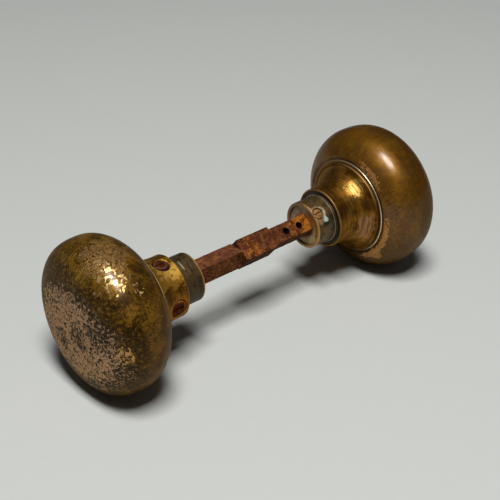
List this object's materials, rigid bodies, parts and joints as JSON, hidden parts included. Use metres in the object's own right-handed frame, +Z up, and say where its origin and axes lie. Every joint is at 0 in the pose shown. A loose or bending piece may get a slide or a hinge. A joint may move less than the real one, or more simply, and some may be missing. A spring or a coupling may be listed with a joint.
{
  "type": "door knob set",
  "caption": "Pair of round brass door knobs with bell necks on a square iron swivel spindle with tapped adjusting holes.",
  "frame": {"origin": "on the spindle's axis, midway between the outermost points of the two knob faces", "axes": "+X along the spindle from the outer knob to the inner knob, +Z up as the set lies in a door, +Y to the left when looking from the outer knob to the inner one"},
  "size_m": [0.1562, 0.0572, 0.0572],
  "materials": {
    "head_brass": "old lacquered brass with brown patina, worn through to tan and speckled dark",
    "bell_brass": "turned brass, golden, with fine turning lines and rubbed patches",
    "ring_brass": "brass rubbed bright along its edge",
    "collar_brass": "dull olive grey tarnish with traces of verdigris",
    "bush_brass": "dull brown tarnish stained by rust",
    "rusty_iron": "red brown rust with orange patches and fine pitting",
    "screw_iron": "dark red brown rust",
    "plate_steel": "plain dull sheet steel, hidden inside"
  },
  "bodies": {
    "inner": {"inner_head_face": "head_brass", "inner_head_back": "head_brass", "inner_backing_plate": "plate_steel", "inner_neck_ring": "ring_brass", "inner_bell_neck": "bell_brass", "inner_shank": "collar_brass", "inner_square_bush": "bush_brass", "inner_side_screw": "screw_iron", "inner_spindle": "rusty_iron", "swivel_pin": "rusty_iron"},
    "outer": {"outer_head_face": "head_brass", "outer_head_back": "head_brass", "outer_backing_plate": "plate_steel", "outer_neck_ring": "ring_brass", "outer_bell_neck": "bell_brass", "outer_shank": "collar_brass", "outer_square_bush": "bush_brass", "outer_neck_screw_upper": "screw_iron", "outer_neck_screw_lower": "screw_iron", "outer_spindle": "rusty_iron"}
  },
  "joints": [
    {"name": "spindle_swivel", "type": "hinge", "parent": "inner", "child": "outer", "pos_m": [0.00205, 0, 0], "axis": [1, 0, 0], "continuous": true}
  ]
}
